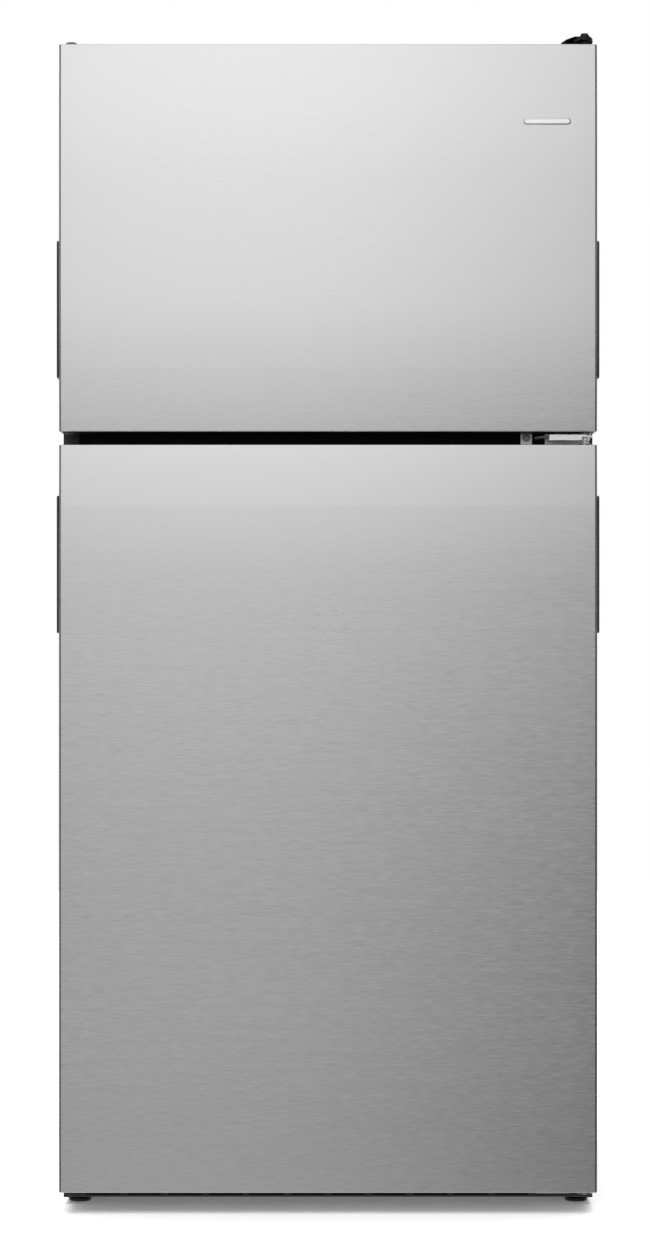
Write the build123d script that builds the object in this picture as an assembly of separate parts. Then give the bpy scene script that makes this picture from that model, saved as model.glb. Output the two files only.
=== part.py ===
from build123d import *
import os

# Top freezer refrigerator, millimetres. +Z is up and -Y faces the person at the doors.
# Both doors hang on the right (+X). Each piece is one file in parts/, named after it.
# Heights below are drawn from a datum FLOOR under the floor, and every piece is written with
# the floor at 0, so the origin is on the floor under the middle of the appliance.

# ---------------------------------------------------------------- driving sizes
FLOOR = 20.0                # height of the floor above the drawing's datum
DOOR_W = 755.0              # width over the door skins
DEPTH = 772.0               # door front to cabinet back
DOOR_FRONT = -DEPTH / 2
DOOR_T = 60.0               # door thickness without its seal and inner ridges
CROWN = 3.0                 # how far a door's face falls back at its top and bottom
SEAL_T = 11.6
CAB_FRONT = DOOR_FRONT + 72.0
CAB_BACK = DEPTH / 2
CAB_W = 754.0
CAB_BOTTOM = 30.0           # lower edge of the side panels
CAB_TOP = 1670.0
STEEL = 1.0                 # cabinet sheet
SKIN = 0.8                  # stainless door sheet
PLASTIC = 2.0               # liner sheet
FRIDGE_DOOR_Z = (50.0, 1098.5)
FREEZER_DOOR_Z = (1117.5, 1660.0)

HX = DOOR_W / 2
CX = CAB_W / 2
DOOR_BACK = DOOR_FRONT + DOOR_T

# ---------------------------------------------------------------- compartments
IN_X = 330.0                # half width inside the liners
BACK_Y = 333.0              # inner face of the rear liner wall
FRESH_Z = (107.0, 1074.0)
FREEZE_Z = (1142.0, 1612.0)
STEP_Y = 95.0               # front of the raised floor over the compressor space
STEP_Z = 310.0
MACHINE_Y = 140.0           # front of the compressor space
MACHINE_TOP = 262.0
FOAM_BOTTOM = 57.0
SHELF_FRONT = -190.0

# ---------------------------------------------------------------- hinges
PIN_X = 362.0
PIN_Y = -356.0
PIN_R = 4.0
PIN_FIT = 0.06              # radial play of a pin in its cap
PIN_REACH = 24.0            # pin length inside a door
CAP_T = 10.0
CORNER_H = 32.0             # height of the solid hinge corner of an end cap
CORNER_X = 352.0            # inner side of that corner

# ---------------------------------------------------------------- side grips
GRIP_LEN = 193.0
GRIP_PROUD = 3.0
GRIP_Y = (-383.0, -338.0)
POCKET_Y = (-372.0, -346.0)
POCKET_LEN = 165.0
POCKET_IN = 355.5           # where the pocket ends inside the door
CUP_WALL = 1.8
FRIDGE_GRIP_Z = 931.0       # middle of each grip
FREEZER_GRIP_Z = 1288.5

SLACK = 0.1                 # gap between pieces that nest


# ---------------------------------------------------------------- helpers
def block(x, y, z):
    """A box between two limits on each axis."""
    size = (x[1] - x[0], y[1] - y[0], z[1] - z[0])
    middle = ((x[0] + x[1]) / 2, (y[0] + y[1]) / 2, (z[0] + z[1]) / 2)
    return Pos(*middle) * Box(*size)


def rounded(x, y, z, radius, along="z"):
    """A box whose edges along one axis are rounded."""
    spans = {"x": (y, z, x), "y": (x, z, y), "z": (x, y, z)}
    a, b, run = spans[along]
    plane = {"x": Plane.YZ, "y": Plane.XZ, "z": Plane.XY}[along]
    face = RectangleRounded(a[1] - a[0], b[1] - b[0], radius)
    length = run[1] - run[0]
    solid = plane * extrude(face, length / 2, both=True)
    middle = ((x[0] + x[1]) / 2, (y[0] + y[1]) / 2, (z[0] + z[1]) / 2)
    return Pos(*middle) * solid


def rod(start, end, radius):
    """A round bar between two points on a line parallel to an axis."""
    a, b = Vector(*start), Vector(*end)
    plane = Plane(origin=a, z_dir=b - a)
    return plane * Cylinder(radius, (b - a).length, align=(Align.CENTER, Align.CENTER, Align.MIN))


def ring(start, end, outer, inner):
    """A tube between two points on a line parallel to an axis."""
    return rod(start, end, outer) - rod(start, end, inner)


def mirrored(solid):
    return solid.mirror(Plane.YZ)


def both_sides(solid):
    return [solid, mirrored(solid)]


def inset(span, gap):
    return (span[0] + gap, span[1] - gap)


def tub(x, y, z, wall, radius, foot=4.0):
    """An open-topped tray with rounded upright corners and a rounded foot."""
    outer = rounded(x, y, z, radius)
    outer = fillet(outer.edges().group_by(Axis.Z)[0], foot)
    hollow = rounded(inset(x, wall), inset(y, wall), (z[0] + wall, z[1] + 1), radius - wall)
    hollow = fillet(hollow.edges().group_by(Axis.Z)[0], foot - wall / 2)
    return outer - hollow


def row(count, first, last):
    step = (last - first) / (count - 1)
    return [first + i * step for i in range(count)]


def write(name, *solids):
    lowered = [Pos(0, 0, -FLOOR) * solid for solid in solids]
    shape = lowered[0] if len(lowered) == 1 else Compound(children=lowered)
    export_step(shape, f"parts/{name}.step")


# ---------------------------------------------------------------- cabinet
FLANGE = 22.0


def cabinet_shell():
    """Painted wrapper: two sides and a top, turned in round the front."""
    side = (-CX, CX)
    depth = (CAB_FRONT, CAB_BACK - STEEL)
    outer = block(side, depth, (CAB_BOTTOM, CAB_TOP))
    outer = fillet(outer.edges().filter_by(Axis.Y).group_by(Axis.Z)[-1], 4.0)
    hollow = block(inset(side, STEEL), (CAB_FRONT + STEEL, CAB_BACK), (CAB_BOTTOM - 1, CAB_TOP - STEEL))
    hollow = fillet(hollow.edges().filter_by(Axis.Y).group_by(Axis.Z)[-1], 3.0)
    mouth = block(inset(side, FLANGE), (CAB_FRONT - 1, CAB_FRONT + 2), (CAB_BOTTOM - 1, CAB_TOP - FLANGE))
    shell = outer - hollow - mouth
    for x, y in TOP_SCREWS:
        shell -= rod((x, y, CAB_TOP - 2), (x, y, CAB_TOP + 1), 2.6)
    return shell


def cabinet_back():
    """Galvanised rear sheet with pressed stiffening ribs."""
    sheet = block((-CX + STEEL, CX - STEEL), (CAB_BACK - STEEL, CAB_BACK), (292.0, CAB_TOP - STEEL))
    for z in row(5, 420.0, 1560.0):
        sheet -= rounded((-300, 300), (CAB_BACK - 0.4, CAB_BACK + 1), (z - 6, z + 6), 5.9, "y")
    return sheet


def insulation():
    """Foam walls, one slab for each wall so that every compartment stays open."""
    side = (IN_X + PLASTIC, CX - STEEL - SLACK)
    front, back = CAB_FRONT + STEEL + 1, CAB_BACK - 2.6
    top = CAB_TOP - STEEL - SLACK
    across = (-IN_X - PLASTIC, IN_X + PLASTIC)
    wall = block(side, (front, back), (FOAM_BOTTOM, top))
    wall = fillet(wall.edges().filter_by(Axis.Y).group_by(Axis.Z)[-1].sort_by(Axis.X)[-1], 3.4)
    slabs = both_sides(wall)
    slabs.append(block(across, (front, back), (FREEZE_Z[1] + PLASTIC, top)))
    slabs.append(block(across, (front + 27, BACK_Y + PLASTIC), (FRESH_Z[1] + PLASTIC, FREEZE_Z[0] - PLASTIC)))
    slabs.append(block(across, (BACK_Y + PLASTIC, back), (STEP_Z - PLASTIC, FREEZE_Z[1] + PLASTIC)))
    slabs.append(block(across, (front, STEP_Y + PLASTIC), (FOAM_BOTTOM, FRESH_Z[0] - PLASTIC)))
    riser = block(across, (STEP_Y + PLASTIC, MACHINE_Y), (FOAM_BOTTOM, STEP_Z - PLASTIC))
    nose = riser.edges().filter_by(Axis.X).group_by(Axis.Z)[-1].sort_by(Axis.Y)[0]
    slabs.append(fillet(nose, LINER_R + 3))
    slabs.append(block(across, (MACHINE_Y, back), (MACHINE_TOP, STEP_Z - PLASTIC)))
    return slabs


LINER_R = 24.0
MOUTH = CX - FLANGE - SLACK


def liner_flange(z, mouth_z):
    """The lip of a liner that lies on the cabinet front round its mouth."""
    plate = block((-MOUTH, MOUTH), (CAB_FRONT, CAB_FRONT + PLASTIC), z)
    hole = rounded((-IN_X, IN_X), (CAB_FRONT - 1, CAB_FRONT + 3), mouth_z, LINER_R, "y")
    return plate - hole


def shelf_ledges(heights, back):
    """Moulded side ledges that carry the shelves."""
    ledges = []
    for z in heights:
        ledge = rounded((IN_X - 16, IN_X + 1), (SHELF_FRONT + 10, back), (z - 7, z), 2.0, "y")
        ledges += both_sides(ledge)
    return ledges


def freezer_liner():
    span = (CAB_FRONT, BACK_Y)
    def body(gap, radius):
        wide, high = (-IN_X - gap, IN_X + gap), (FREEZE_Z[0] - gap, FREEZE_Z[1] + gap)
        solid = block(wide, (span[0], span[1] + gap), high)
        edges = solid.edges().filter_by(Axis.Y) + solid.edges().group_by(Axis.Y)[-1]
        return fillet(edges, radius)
    shell = body(PLASTIC, LINER_R + PLASTIC) - body(0, LINER_R)
    shell += liner_flange((FREEZE_Z[0] - PLASTIC, CAB_TOP - FLANGE - SLACK), FREEZE_Z)
    for ledge in shelf_ledges([FREEZER_SHELF_Z], EVAP_COVER_Y - 10):
        shell += ledge
    return shell


def refrigerator_liner():
    """Fresh food liner, with the raised floor over the compressor space."""
    def body(gap, radius):
        outline = [
            (CAB_FRONT, FRESH_Z[0] - gap),
            (STEP_Y + gap, FRESH_Z[0] - gap),
            (STEP_Y + gap, STEP_Z - gap),
            (BACK_Y + gap, STEP_Z - gap),
            (BACK_Y + gap, FRESH_Z[1] + gap),
            (CAB_FRONT, FRESH_Z[1] + gap),
        ]
        profile = Plane.YZ * extrude(make_face(Polyline(*outline, close=True)), IN_X + gap, both=True)
        inner = profile.edges().filter_by(Axis.X).filter_by(lambda e: e.center().Y > CAB_FRONT + 5)
        profile = fillet(inner, radius)
        ends = profile.edges().filter_by(lambda e: abs(abs(e.center().X) - IN_X - gap) < 0.01)
        ends = ends.filter_by(lambda e: e.center().Y > CAB_FRONT + 0.1)
        return fillet(ends, radius - 6)
    shell = body(PLASTIC, LINER_R + PLASTIC) - body(0, LINER_R)
    plate = block((-MOUTH, MOUTH), (CAB_FRONT, CAB_FRONT + PLASTIC), (FOAM_BOTTOM, FRESH_Z[1] + PLASTIC))
    hole = rounded((-IN_X, IN_X), (CAB_FRONT - 1, CAB_FRONT + 3), FRESH_Z, LINER_R - 6, "y")
    shell += plate - hole
    for ledge in shelf_ledges(SHELF_ZS, BACK_Y - 40):
        shell += ledge
    rail = block((CRISPER_X[1] - 5.5, IN_X + 1), (SHELF_FRONT + 10, STEP_Y - 30), RUNNER_Z)
    for runner in both_sides(rail):
        shell += runner
    return shell


RAIL_Z = (FRESH_Z[1] + PLASTIC + SLACK, FREEZE_Z[0] - PLASTIC - SLACK)
PLUNGER_X = -300.0
PLUNGER_Z = 1094.6
PLUNGER_R = 3.2


def mullion_rail():
    """Steel rail across the cabinet front between the doors, with the light switch collar."""
    rail = block((-MOUTH, MOUTH), (CAB_FRONT, CAB_FRONT + STEEL), RAIL_Z)
    for z in (RAIL_Z[0], RAIL_Z[1] - STEEL):
        rail += block((-IN_X, IN_X), (CAB_FRONT, CAB_FRONT + 20), (z, z + STEEL))
    rail += rod((PLUNGER_X, CAB_FRONT, PLUNGER_Z), (PLUNGER_X, CAB_FRONT + 18, PLUNGER_Z), 6.0)
    bore = rod((PLUNGER_X, CAB_FRONT - 1, PLUNGER_Z), (PLUNGER_X, CAB_FRONT + 19, PLUNGER_Z), PLUNGER_R + 0.08)
    return rail - bore


def switch_plunger():
    start = (PLUNGER_X, DOOR_BACK + 0.5, PLUNGER_Z)
    tip = rod(start, (PLUNGER_X, CAB_FRONT + 22, PLUNGER_Z), PLUNGER_R)
    return fillet(tip.edges().group_by(Axis.Y)[0], 1.2)


# ---------------------------------------------------------------- base
RAIL_X = (345.0, 375.0)
RAIL_H = (28.0, 56.0)
GAUGE = 2.0
LEG_X, LEG_Y = 356.0, -282.0
LEG_ROD = 5.0
WHEEL_R = 15.0
WHEEL_Y = 345.0
WHEEL_Z = FLOOR + WHEEL_R
WHEEL_X = (343.0, 363.0)
AXLE_R = 4.0


def channel():
    """Side channel of the base, open towards the middle."""
    solid = block(RAIL_X, (-300, 310), RAIL_H)
    solid -= block((RAIL_X[0] - 1, RAIL_X[1] - GAUGE), (-301, 311), inset(RAIL_H, GAUGE))
    return solid - rod((LEG_X, LEG_Y, 20), (LEG_X, LEG_Y, 40), LEG_ROD + 0.15)


def wheel_bracket():
    """Two ears, a bridge and the riveted axle of one rear wheel."""
    ears = (WHEEL_X[0] - 3, WHEEL_X[1] + 3)
    solid = block(ears, (322, 368), (54, 56))
    for x in ((ears[0], ears[0] + GAUGE), (ears[1] - GAUGE, ears[1])):
        solid += rounded(x, (330, 360), (FLOOR + 4, 55), 7, "x")
    return solid + rod((ears[0] - 2, WHEEL_Y, WHEEL_Z), (ears[1] + 2, WHEEL_Y, WHEEL_Z), AXLE_R)


def base_frame():
    front = block((-344, 344), (-300, -270), RAIL_H)
    front -= block((-345, 345), (-298, -269), (RAIL_H[0] - 1, RAIL_H[1] - GAUGE))
    deck = block((-336, 336), (150, 380), (28, 30))
    deck += block((-336, 336), (150, 152), (28, 56))
    return [*both_sides(channel()), *both_sides(wheel_bracket()), front, deck]


def levelling_leg():
    foot = rod((LEG_X, LEG_Y, FLOOR), (LEG_X, LEG_Y, FLOOR + 5.5), 16)
    foot = fillet(foot.edges(), 1.6)
    grip_hexagon = Pos(LEG_X, LEG_Y, FLOOR + 5) * extrude(RegularPolygon(10.0, 6), 2.6)
    return foot + grip_hexagon + rod((LEG_X, LEG_Y, FLOOR + 5), (LEG_X, LEG_Y, 52), LEG_ROD)


def rear_wheel():
    wheel = rod((WHEEL_X[0], WHEEL_Y, WHEEL_Z), (WHEEL_X[1], WHEEL_Y, WHEEL_Z), WHEEL_R)
    wheel = fillet(wheel.edges(), 2.0)
    for x in ((WHEEL_X[0], WHEEL_X[0] + 4), (WHEEL_X[1] - 4, WHEEL_X[1])):
        wheel -= ring((x[0], WHEEL_Y, WHEEL_Z), (x[1], WHEEL_Y, WHEEL_Z), 11.5, 7.5)
    return wheel - rod((WHEEL_X[0] - 1, WHEEL_Y, WHEEL_Z), (WHEEL_X[1] + 1, WHEEL_Y, WHEEL_Z), AXLE_R + 0.06)


def base_grille():
    """Clip-on kick strip with a row of air slots."""
    plate = rounded((-370, 370), (-334, -322), (FLOOR + 14, 43), 3.0, "x")
    plate -= block((-367, 367), (-331, -321), (FLOOR + 16.5, 41))
    for x in row(12, -319, 319):
        plate -= rounded((x - 24, x + 24), (-340, -325), (37.4, 40), 1.2, "y")
    for x in (-260, -100, 100, 260):
        plate += block((x - 8, x + 8), (-332, -300.1), (40, 42.5))
    return plate


# ---------------------------------------------------------------- compressor space
COMP = (190.0, 262.0)
FAN_Y, FAN_Z, FAN_X = 262.0, 142.0, -40.0
GLAND = (300.0, 90.0)
GLAND_R = 5.5


def compressor():
    """Sealed steel shell on its foot plate, with three pipe stubs."""
    shell = Pos(*COMP, 118) * Cylinder(72, 146)
    shell = fillet(shell.edges().group_by(Axis.Z)[-1], 38)
    shell = fillet(shell.edges().group_by(Axis.Z)[0], 26)
    shell += Pos(*COMP, 128) * Cylinder(76, 6)
    shell += rounded((COMP[0] - 95, COMP[0] + 95), (COMP[1] - 62, COMP[1] + 62), (40, 43), 12)
    shell += block((COMP[0] - 40, COMP[0] + 40), (COMP[1] - 40, COMP[1] + 40), (42, 52))
    for dx, z in ((-20, 165), (0, 120), (22, 150)):
        shell += rod((COMP[0] + dx, COMP[1] - 60, z), (COMP[0] + dx, COMP[1] - 92, z), 4)
    shell += rounded((COMP[0] + 60, COMP[0] + 92), (COMP[1] - 28, COMP[1] + 28), (90, 150), 6, "x")
    for dx in (-80, 80):
        for dy in (-48, 48):
            x, y = COMP[0] + dx, COMP[1] + dy
            shell += rod((x, y, 30), (x, y, 41), 9)
    return shell


def condenser_coil():
    """Tube bent back and forth in three layers."""
    left, right, radius = -325.0, -95.0, 3.2
    points = []
    for layer, z in enumerate((60.0, 100.0, 140.0)):
        ys = row(6, 172.0, 322.0)
        for i, y in enumerate(ys if layer % 2 == 0 else ys[::-1]):
            ends = (left, right) if (i + layer * 6) % 2 == 0 else (right, left)
            points += [(ends[0], y, z), (ends[1], y, z)]
    path = FilletPolyline(*points, radius=12)
    section = Plane(origin=path @ 0, z_dir=path % 0) * Circle(radius)
    coil = sweep(section, path=path)
    for x in (-285, -135):
        coil += block((x - 1, x + 1), (165, 329), (30, 176))
    return coil


def condenser_fan_mount():
    """Shroud plate with its round mouth, motor and three arms."""
    plate = block((FAN_X - 14, FAN_X - 12), (152.5, 380), (30, 256))
    plate -= rod((FAN_X - 15, FAN_Y, FAN_Z), (FAN_X - 11, FAN_Y, FAN_Z), 76)
    motor = rod((FAN_X + 16, FAN_Y, FAN_Z), (FAN_X + 52, FAN_Y, FAN_Z), 27)
    motor = fillet(motor.edges(), 5)
    for y, z in ((FAN_Y - 82, FAN_Z), (FAN_Y + 82, FAN_Z + 40), (FAN_Y + 82, FAN_Z - 40)):
        motor += rod((FAN_X - 13, y, z), (FAN_X + 34, y, z), 3)
        low, high = sorted((y, FAN_Y))
        motor += block((FAN_X + 30, FAN_X + 34), (low, high), (min(z, FAN_Z) - 4, max(z, FAN_Z) + 4))
    return plate + motor + rod((FAN_X - 7, FAN_Y, FAN_Z), (FAN_X + 20, FAN_Y, FAN_Z), 2.5)


def propeller(centre, axis, hub, tip, blades, depth, shaft):
    """Hub with twisted flat blades, built along Z and turned to its axis."""
    body = Cylinder(hub, depth)
    for i in range(blades):
        blade = Pos((hub + tip) / 2 - 1, 0, 0) * Rot(28, 0, 0) * rounded(
            (-(tip - hub) / 2 - 1, (tip - hub) / 2), (-tip * 0.3, tip * 0.3), (-0.9, 0.9), tip * 0.12)
        body += Rot(0, 0, i * 360 / blades) * blade
    body &= Cylinder(tip, depth * 3)
    body -= Cylinder(shaft + 0.06, depth * 4)
    turn = Rot(0, 90, 0) if axis == "x" else Rot(90, 0, 0)
    return Pos(*centre) * turn * body


def drain_pan():
    return tub((-330, -80), (165, 335), (176, 214), 2.0, 14)


def rear_cover():
    """Removable board over the compressor space, with air slots and the cord gland."""
    board = block((-374, 374), (CAB_BACK - 2, CAB_BACK - 0.5), (34, 290))
    for x in row(14, -330, 60):
        for z in (70.0, 150.0):
            board -= rounded((x - 4, x + 4), (CAB_BACK - 5, CAB_BACK + 1), (z, z + 62), 3.9, "y")
    for x in row(6, 150, 260):
        board -= rounded((x - 4, x + 4), (CAB_BACK - 5, CAB_BACK + 1), (150, 212), 3.9, "y")
    x, z = GLAND
    board += rod((x, CAB_BACK - 8, z), (x, CAB_BACK, z), 11)
    return board - rod((x, CAB_BACK - 9, z), (x, CAB_BACK + 1, z), GLAND_R)


# ---------------------------------------------------------------- freezer inside
EVAP_COVER_Y = 252.0
EVAP_FAN = (0.0, 286.0, 1512.0)
FREEZER_SHELF_Z = 1362.0


def evaporator():
    """Finned coil between two end plates, with the defrost heater under it."""
    coil = rod((-259, 291, 1178), (259, 291, 1178), 5)
    for x in (-259, 259):
        coil += block((x - 1, x + 1), (262, BACK_Y - SLACK), (1168, 1405))
    for z in row(6, 1215, 1390):
        for y in (278.0, 304.0):
            coil += rod((-266, y, z), (266, y, z), 4)
    for x in row(34, -245, 245):
        coil += block((x - 0.3, x + 0.3), (264, 318), (1200, 1405))
    return coil


def evaporator_cover():
    """Rear panel of the freezer with the fan grille and the return slots."""
    panel = rounded(
        (-IN_X + 1, IN_X - 1), (EVAP_COVER_Y, EVAP_COVER_Y + 2.5), inset(FREEZE_Z, 1), LINER_R + 1, "y")
    panel += rounded((-210, 210), (EVAP_COVER_Y - 6, EVAP_COVER_Y), (1180, 1596), 24, "y")
    panel -= rounded((-207.5, 207.5), (EVAP_COVER_Y - 3.5, EVAP_COVER_Y + 3), (1182.5, 1593.5), 21.5, "y")
    x, z = EVAP_FAN[0], EVAP_FAN[2]
    front, back = EVAP_COVER_Y - 7, EVAP_COVER_Y
    panel -= rod((x, front, z), (x, back + 1, z), 56)
    for outer in (56.5, 44.0, 31.0, 18.0):
        panel += ring((x, front, z), (x, back - 3.5, z), outer, outer - 4)
    panel += rod((x, front, z), (x, back - 3.5, z), 6)
    panel += block((x - 56, x + 56), (front, back - 3.5), (z - 2, z + 2))
    panel += block((x - 2, x + 2), (front, back - 3.5), (z - 56, z + 56))
    for x in row(16, -285, 285):
        panel -= rounded((x - 12, x + 12), (EVAP_COVER_Y - 1, EVAP_COVER_Y + 4), (1150, 1158), 3.9, "y")
    return panel


def evaporator_fan_motor():
    x, y, z = EVAP_FAN
    motor = rod((x, y + 16, z), (x, y + 40, z), 22)
    motor = fillet(motor.edges(), 4)
    motor += block((x - 75, x + 75), (y + 34, y + 37), (z - 8, z + 8))
    for side in (-1, 1):
        arm = (x + side * 68 - 3, x + side * 68 + 3)
        motor += block(arm, (EVAP_COVER_Y + 2.6, y + 37), (z - 8, z + 8))
    return motor + rod((x, y - 14, z), (x, y + 20, z), 2)


def freezer_shelf():
    """White wire shelf: a border rod, two stays and close cross wires, welded into one."""
    x_end, y_end, z = 322.0, (SHELF_FRONT, EVAP_COVER_Y - 14), FREEZER_SHELF_Z + 3.2
    shelf = rod((-x_end, y_end[0], z), (x_end, y_end[0], z), 3)
    shelf += rod((-x_end, y_end[0], z - 0.01), (-x_end, y_end[1], z), 3)
    shelf += rod((x_end, y_end[0], z - 0.01), (x_end, y_end[1], z), 3)
    for y in (y_end[0] + 140, y_end[0] + 290, y_end[1]):
        shelf += rod((-x_end, y, z), (x_end, y, z), 3)
    for x in row(27, -299, 299):
        shelf += rod((x, y_end[0] - 1, z + 3.5), (x, y_end[1] + 1, z + 3.5), 1.6)
    shelf += rod((-x_end, y_end[0] - 1, z + 14), (x_end, y_end[0] - 1, z + 14), 2.2)
    for x in row(5, -x_end + 2, x_end - 2):
        shelf += rod((x, y_end[0] - 1, z), (x, y_end[0] - 1, z + 14), 2)
    return shelf


# ---------------------------------------------------------------- fresh food inside
SHELF_ZS = [835.0, 600.0, 330.0]
SHELF_X = 322.0
SHELF_BACK = 296.0
SHELF_H = 15.0
GLASS_T = 4.0
BORDER = 24.0


def shelf_frame(z, back=SHELF_BACK):
    """Plastic frame with a rebate for its glass."""
    x, y = (-SHELF_X, SHELF_X), (SHELF_FRONT, back)
    frame = rounded(x, y, (z, z + SHELF_H), 10)
    frame = fillet(frame.edges().group_by(Axis.Z)[-1], 2.5)
    frame -= rounded(inset(x, 8), inset(y, 8), (z + SHELF_H - GLASS_T, z + SHELF_H + 1), 6)
    return frame - rounded(inset(x, BORDER), inset(y, BORDER), (z - 1, z + SHELF_H + 1), 6)


def shelf_glass(z, back=SHELF_BACK):
    x, y = inset((-SHELF_X, SHELF_X), 8.3), inset((SHELF_FRONT, back), 8.3)
    low = z + SHELF_H - GLASS_T + SLACK
    return rounded(x, y, (low, low + GLASS_T - 0.4), 5.7)


PAN_X = (20.0, 300.0)
PAN_Z = (486.0, 590.0)
PAN_LIP = 7.0


def middle_shelf_frame():
    """The lower glass shelf's frame also carries the hanging rails of the meat pan."""
    frame = shelf_frame(SHELF_ZS[1])
    low = PAN_Z[1] - 6.3
    for x in (PAN_X[0] - 4, PAN_X[1] + 2):
        inward = 1 if x < 100 else -1
        frame += block((x, x + 2), (SHELF_FRONT + 12, 190), (low - 2, SHELF_ZS[1] + 1))
        frame += block(sorted((x + 1, x + 1 + inward * 8)), (SHELF_FRONT + 12, 190), (low - 2, low))
    return frame


def drawer(x, y, z, lip, wall=2.6, radius=16):
    """Clear drawer: tray, thick front with a finger lip, and side lips that ride on rails."""
    body = tub((x[0] + lip, x[1] - lip), (y[0] + 6, y[1]), z, wall, radius, 5.0)
    front = rounded(x, (y[0], y[0] + 8), z, 4.0, "y")
    front = fillet(front.edges().group_by(Axis.Y)[0], 1.6)
    body += front
    grip = rounded((x[0] + 30, x[1] - 30), (y[0] - 9, y[0] + 3), (z[1] - 9, z[1] - 4), 2.0, "x")
    body += grip
    return body


def drawer_rims(x, y, z, lip):
    """Level side lips at the top of a drawer."""
    rims = block((x[0], x[0] + lip + 2.6), y, (z - 3, z)) + block((x[1] - lip - 2.6, x[1]), y, (z - 3, z))
    return rims


CRISPER_X = (5.0, 316.0)
CRISPER_Y = (SHELF_FRONT - 3.0, 86.0)
CRISPER_Z = (110.0, 312.0)
RUNNER_Z = (CRISPER_Z[1] - 7.0, CRISPER_Z[1] - 3.3)


def crisper():
    body = drawer(CRISPER_X, CRISPER_Y, CRISPER_Z, 6.0)
    return body + drawer_rims(CRISPER_X, (CRISPER_Y[0] + 7, CRISPER_Y[1] - 12), CRISPER_Z[1], 6.0)


def meat_pan():
    span = (SHELF_FRONT + 2.0, 180.0)
    body = drawer(PAN_X, span, (PAN_Z[0], PAN_Z[1] - 0.5), PAN_LIP, radius=12)
    return body + drawer_rims(PAN_X, (span[0] + 7, span[1] - 12), PAN_Z[1] - 3.0, PAN_LIP)


def crisper_cover():
    """Frame over the drawers, with its middle post and two slots for the humidity sliders."""
    z = SHELF_ZS[2]
    frame = shelf_frame(z)
    frame += block((-3, 3), (SHELF_FRONT + 4, STEP_Y - 30), (FRESH_Z[0] + 0.1, z + 4))
    frame += block((-10.5, 10.5), (SHELF_FRONT + 10, STEP_Y - 30), RUNNER_Z)
    for x in SLIDER_XS:
        frame -= block((x - 34, x + 34), (SHELF_FRONT + 2, SHELF_FRONT + 7), (z + 4, z + 10))
        frame -= block((x - 31, x + 31), (SHELF_FRONT - 1, SHELF_FRONT + 3), (z + 5.5, z + 8.5))
    return frame


SLIDER_XS = (-160.0, 160.0)


def humidity_slider():
    """Right-hand slider, at the middle of its slot."""
    x, z = SLIDER_XS[1], SHELF_ZS[2]
    tongue = block((x - 13, x + 13), (SHELF_FRONT + 3.3, SHELF_FRONT + 6.7), (z + 4.3, z + 9.7))
    neck = block((x - 9, x + 9), (SHELF_FRONT - 1, SHELF_FRONT + 4), (z + 5.8, z + 8.2))
    knob = rounded((x - 9, x + 9), (SHELF_FRONT - 7, SHELF_FRONT - 0.4), (z + 3.5, z + 10.5), 2.0, "y")
    return tongue + neck + knob


HOUSING_Y = (-150.0, -20.0)
KNOB_Z = 1042.0
KNOB_X = 84.0
KNOB_R = 19.0
SPINDLE_R = 3.0


def control_housing():
    """Ceiling housing with both temperature controls and the lamp holder."""
    body = rounded((-170, 170), HOUSING_Y, (1014, FRESH_Z[1] - 0.1), 12, "y")
    body = fillet(body.edges().group_by(Axis.Y)[0], 5)
    body -= block((-167, 167), inset(HOUSING_Y, 3), (1017, FRESH_Z[1] + 1))
    for x in (-KNOB_X, KNOB_X):
        body += rod((x, HOUSING_Y[0] - 12, KNOB_Z), (x, HOUSING_Y[0] + 1, KNOB_Z), SPINDLE_R)
        body += ring((x, HOUSING_Y[0] - 1, KNOB_Z), (x, HOUSING_Y[0] + 1, KNOB_Z), 27, 25)
    for x in row(9, -48, 48):
        body -= rounded((x - 3, x + 3), (HOUSING_Y[0] - 1, HOUSING_Y[0] + 6), (1022, 1030), 2.0, "y")
    return body + rod((0, HOUSING_Y[1] - 1, 1040), (0, HOUSING_Y[1] + 16, 1040), 14)


def control_knob():
    """Right-hand knob with its finger bar."""
    x, y = KNOB_X, HOUSING_Y[0]
    knob = rod((x, y - 8, KNOB_Z), (x, y - 1.5, KNOB_Z), KNOB_R)
    knob = fillet(knob.edges().group_by(Axis.Y)[0], 1.5)
    knob += rounded((x - 4, x + 4), (y - 16, y - 7), (KNOB_Z - 17, KNOB_Z + 17), 3.0, "y")
    return knob - rod((x, y - 13, KNOB_Z), (x, y, KNOB_Z), SPINDLE_R + 0.06)


def light_bulb():
    bulb = Pos(0, 34, 1040) * Sphere(20)
    neck = rod((0, HOUSING_Y[1] + 16.1, 1040), (0, 20, 1040), 12)
    return bulb + neck


def air_tower():
    """Cold air duct cover on the rear wall."""
    tower = rounded((-62, 62), (BACK_Y - 16, BACK_Y - 0.3), (430, 1010), 14, "y")
    tower = fillet(tower.edges().group_by(Axis.Y)[0], 4)
    tower -= rounded((-59.5, 59.5), (BACK_Y - 13, BACK_Y), (432.5, 1007.5), 11.5, "y")
    for z in row(5, 480, 960):
        for x in (-34.0, 0.0, 34.0):
            tower -= rounded((x - 13, x + 13), (BACK_Y - 17, BACK_Y - 8), (z - 4, z + 4), 3.5, "y")
    return tower


# ---------------------------------------------------------------- doors
class Door:
    """Limits of one door and where it meets the cabinet."""

    def __init__(self, z, grip_z, ridge_z):
        self.z = z
        self.grip_z = grip_z
        self.ridge_z = ridge_z


FREEZER = Door(FREEZER_DOOR_Z, FREEZER_GRIP_Z, (1156.0, 1598.0))
FRIDGE = Door(FRIDGE_DOOR_Z, FRIDGE_GRIP_Z, (121.0, 1060.0))
RIDGE_X = (285.0, 318.0)
RIDGE_DEEP = 46.0
RETURN = 12.0


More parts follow.
